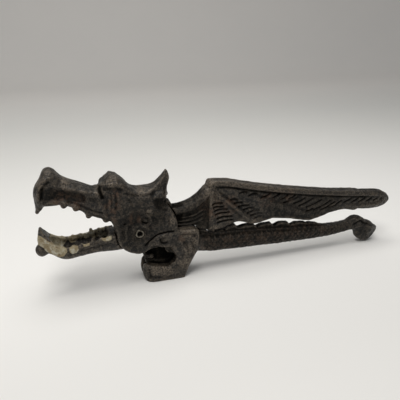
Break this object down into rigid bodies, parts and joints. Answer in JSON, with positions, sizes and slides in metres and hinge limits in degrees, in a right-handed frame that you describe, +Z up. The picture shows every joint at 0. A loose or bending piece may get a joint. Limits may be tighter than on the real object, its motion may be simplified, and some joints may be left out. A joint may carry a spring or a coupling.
{
  "type": "nutcracker",
  "caption": "Figural cast-iron lever nutcracker shaped as a dragon: its folded wings are the handle that works the lower jaw about a rivet through the cheeks.",
  "frame": {"origin": "on the surface the nutcracker stands on, under the centre of its bounding box", "axes": "+X from the jaws towards the tips of the wings and tail, +Y across the cheeks to the dragon's right, +Z up"},
  "size_m": [0.336, 0.026, 0.1049],
  "materials": {
    "iron": "dark brown-black patina over rough cast iron",
    "worn_iron": "handled cast iron, grey on the high edges, old paint left at the chin",
    "rivet": "dished mild-steel rivet head, rubbed bright on its lower rim"
  },
  "bodies": {
    "body": {"upper_jaw": "iron", "brow": "iron", "skull": "iron", "horn": "iron", "left_cheek": "iron", "right_cheek": "iron", "left_shoulder": "iron", "right_shoulder": "iron", "left_foreleg": "iron", "right_foreleg": "iron", "left_paw": "iron", "right_paw": "iron", "chest": "iron", "torso": "iron", "tail_root": "iron", "tail_end": "iron", "tail_spade": "iron", "pivot_rivet": "rivet"},
    "lever": {"lower_jaw": "worn_iron", "lever_hub": "worn_iron", "wing_arm": "worn_iron", "wing_band": "worn_iron", "left_wing": "worn_iron", "right_wing": "worn_iron", "grip": "worn_iron"}
  },
  "joints": [
    {"name": "wing_lever", "type": "hinge", "parent": "body", "child": "lever", "pos_m": [-0.087, 0, 0.048], "axis": [0, -1, 0], "range_deg": [0, 18]}
  ]
}
